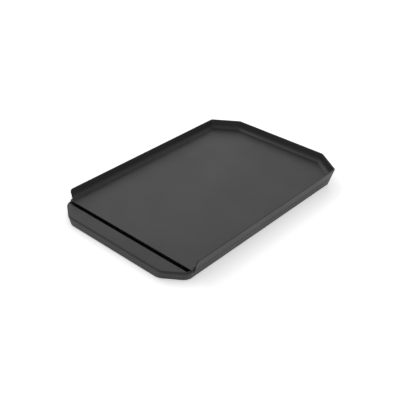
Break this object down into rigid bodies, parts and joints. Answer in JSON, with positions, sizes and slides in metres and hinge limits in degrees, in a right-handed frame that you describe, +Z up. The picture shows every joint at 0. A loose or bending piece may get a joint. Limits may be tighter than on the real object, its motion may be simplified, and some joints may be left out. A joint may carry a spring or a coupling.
{
  "type": "electric griddle",
  "caption": "Low rectangular electric griddle with chamfered corners: walled cooking plate that lifts off a base, and a slide-out drip tray behind a drain slot.",
  "frame": {"origin": "centre of the footprint, on the surface that the feet stand on", "axes": "+X along the griddle from the drip tray to the power inlet, +Z up, +Y to the left when looking along +X"},
  "size_m": [0.52, 0.355, 0.041],
  "materials": {
    "nonstick_coat": "cast aluminium under a dark non-stick coat, fine satin grain",
    "base_moulding": "heat-resistant moulding, fine matt texture",
    "tray_moulding": "heat-resistant moulding, fine matt texture",
    "trough_sheet": "pressed sheet, dark anodised",
    "element_sheath": "heat-tinted tube",
    "plated_steel": "zinc-plated",
    "reflector_sheet": "aluminised, bright",
    "nickel_plate": "nickel-plated",
    "insulator_ceramic": "unglazed",
    "rubber_black": "matt",
    "silicone_grey": "matt",
    "guard_moulding": "phenolic, matt",
    "slide_plastic": "acetal, smooth"
  },
  "bodies": {
    "base": {"base_shell": "base_moulding", "rest_pads": "silicone_grey", "rubber_feet": "rubber_black", "heat_reflector": "reflector_sheet", "reflector_washers": "silicone_grey", "reflector_screws": "plated_steel", "tray_runners": "slide_plastic", "tray_guide_left": "plated_steel", "tray_guide_right": "plated_steel", "guide_rivets": "plated_steel", "tray_stops": "rubber_black"},
    "plate": {"griddle_plate": "nonstick_coat", "heating_element": "element_sheath", "element_clamps": "plated_steel", "clamp_screws": "plated_steel", "probe_sleeve": "plated_steel", "probe_clip": "plated_steel", "probe_clip_screws": "plated_steel", "terminal_pins": "nickel_plate", "terminal_insulators": "insulator_ceramic", "inlet_guard": "guard_moulding", "guard_screws": "plated_steel"},
    "drip_tray": {"tray_front": "tray_moulding", "trough": "trough_sheet", "trough_screws": "plated_steel"}
  },
  "joints": [
    {"name": "plate_lift", "type": "slide", "parent": "base", "child": "plate", "axis": [0, 0, 1], "range_m": [0, 0.08]},
    {"name": "tray_slide", "type": "slide", "parent": "base", "child": "drip_tray", "axis": [-1, 0, 0], "range_m": [0, 0.09]}
  ]
}
